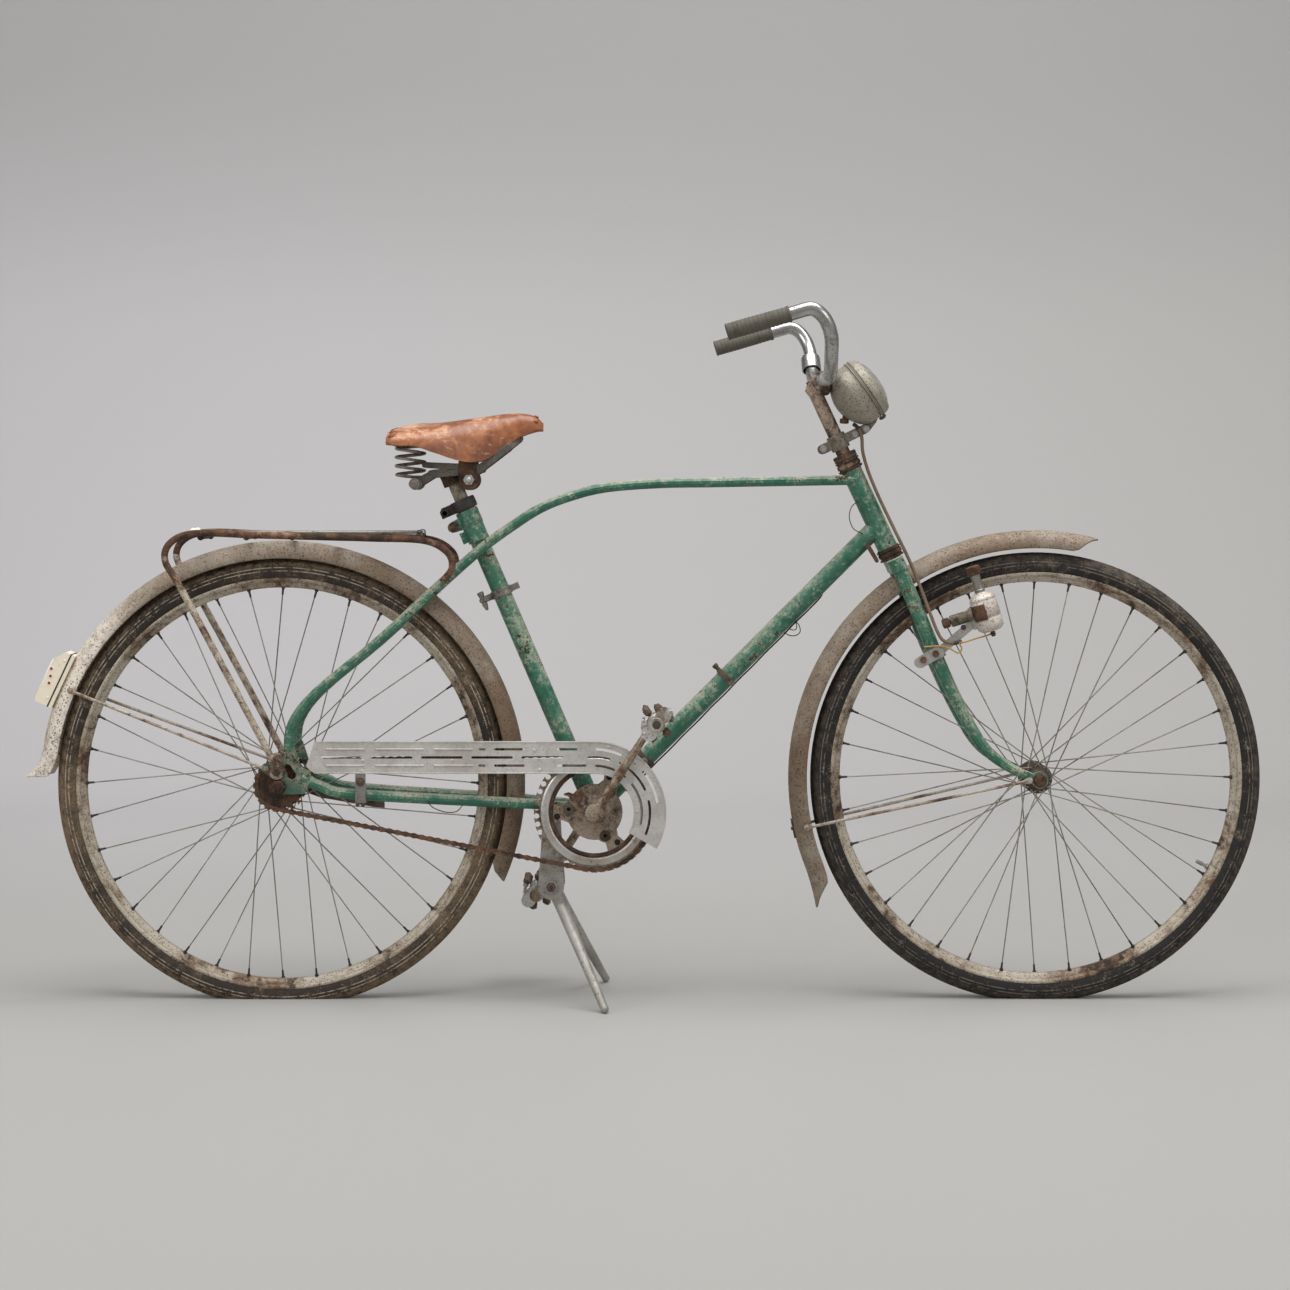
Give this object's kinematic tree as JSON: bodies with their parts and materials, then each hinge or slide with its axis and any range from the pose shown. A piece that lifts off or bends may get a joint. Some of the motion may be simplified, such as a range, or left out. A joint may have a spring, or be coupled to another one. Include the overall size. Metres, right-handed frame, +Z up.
{
  "type": "rusty bicycle",
  "caption": "Weathered roadster bicycle with twin top tubes, rusted fenders, rear carrier, slotted chain guard, leather saddle and dynamo lamp, parked on its centre stand.",
  "frame": {"origin": "on the ground at the middle of the bicycle's length and width", "axes": "+X forward, +Y to the rider's left, +Z up"},
  "size_m": [1.9143, 0.541, 1.0632],
  "materials": {
    "frame_paint": "worn matt green paint over rust",
    "rust": "rusted steel",
    "dull_steel": "dull pitted plating",
    "chrome": "worn chrome",
    "tyre_rubber": "cracked dusty rubber",
    "block_rubber": "dusty rubber",
    "grip_rubber": "faded olive rubber",
    "leather": "worn brown leather",
    "alloy": "oxidised",
    "lamp_cream": "yellowed cream plastic",
    "wire": "black sheath"
  },
  "bodies": {
    "frame": {"head_tube": "frame_paint", "headset_cups": "rust", "down_tube": "frame_paint", "seat_tube": "frame_paint", "bottom_bracket_shell": "frame_paint", "right_twin_tube": "frame_paint", "left_twin_tube": "frame_paint", "right_chainstay": "frame_paint", "left_chainstay": "frame_paint", "rear_dropouts": "frame_paint", "stay_bridges": "frame_paint", "seat_collar": "rust", "seat_post": "dull_steel", "saddle_leather": "leather", "saddle_frame": "dull_steel", "saddle_springs": "dull_steel", "chain_guard": "alloy", "frame_clips": "dull_steel", "chain": "rust", "rear_fender": "rust", "rear_fender_stays": "rust", "rear_axle": "rust", "right_carrier_tube": "rust", "left_carrier_tube": "rust", "carrier_deck": "rust", "carrier_clip": "dull_steel", "tail_lamp": "lamp_cream", "stand_bracket": "alloy", "brake_arm": "dull_steel", "tail_lamp_wire": "wire"},
    "steering": {"fork_crown": "frame_paint", "right_fork_blade": "frame_paint", "left_fork_blade": "frame_paint", "stem": "rust", "handlebar": "chrome", "grips": "grip_rubber", "headlamp": "dull_steel", "lamp_bracket": "dull_steel", "dynamo": "dull_steel", "dynamo_bracket": "alloy", "front_fender": "rust", "front_fender_stays": "rust", "front_axle": "rust", "lamp_cable": "rust"},
    "front_wheel": {"front_tyre": "tyre_rubber", "front_rim": "rust", "front_hub": "dull_steel", "front_spokes": "dull_steel"},
    "rear_wheel": {"rear_tyre": "tyre_rubber", "rear_rim": "rust", "rear_hub": "dull_steel", "rear_spokes": "dull_steel"},
    "crank": {"chainring": "dull_steel", "right_crank": "dull_steel", "left_crank": "dull_steel"},
    "sprocket": {"rear_sprocket": "rust"},
    "pedal_right": {"right_pedal": "block_rubber"},
    "pedal_left": {"left_pedal": "block_rubber"},
    "stand": {"centre_stand": "alloy"}
  },
  "joints": [
    {"name": "steering_turn", "type": "hinge", "parent": "frame", "child": "steering", "pos_m": [0.38233, 0, 0.6895], "axis": [-0.4226, 0, 0.9063], "range_deg": [-60, 60]},
    {"name": "front_wheel_spin", "type": "hinge", "parent": "steering", "child": "front_wheel", "pos_m": [0.60726, 0, 0.342], "axis": [0, 1, 0], "continuous": true},
    {"name": "rear_wheel_spin", "type": "hinge", "parent": "frame", "child": "rear_wheel", "pos_m": [-0.55974, 0, 0.333], "axis": [0, 1, 0], "continuous": true},
    {"name": "crank_spin", "type": "hinge", "parent": "frame", "child": "crank", "pos_m": [-0.07574, 0, 0.2925], "axis": [0, 1, 0], "continuous": true},
    {"name": "sprocket_spin", "type": "hinge", "parent": "frame", "child": "sprocket", "pos_m": [-0.55974, 0, 0.333], "axis": [0, 1, 0], "continuous": true},
    {"name": "pedal_spin_right", "type": "hinge", "parent": "crank", "child": "pedal_right", "pos_m": [0.01794, 0, 0.43675], "axis": [0, 1, 0], "continuous": true},
    {"name": "pedal_spin_left", "type": "hinge", "parent": "crank", "child": "pedal_left", "pos_m": [-0.16942, 0, 0.14825], "axis": [0, 1, 0], "continuous": true},
    {"name": "stand_fold", "type": "hinge", "parent": "frame", "child": "stand", "pos_m": [-0.14274, 0, 0.176], "axis": [0, 1, 0], "range_deg": [0, 112]}
  ],
  "couplings": [
    {"joint": "sprocket_spin", "follows": "crank_spin", "ratio": 2.4444}
  ]
}
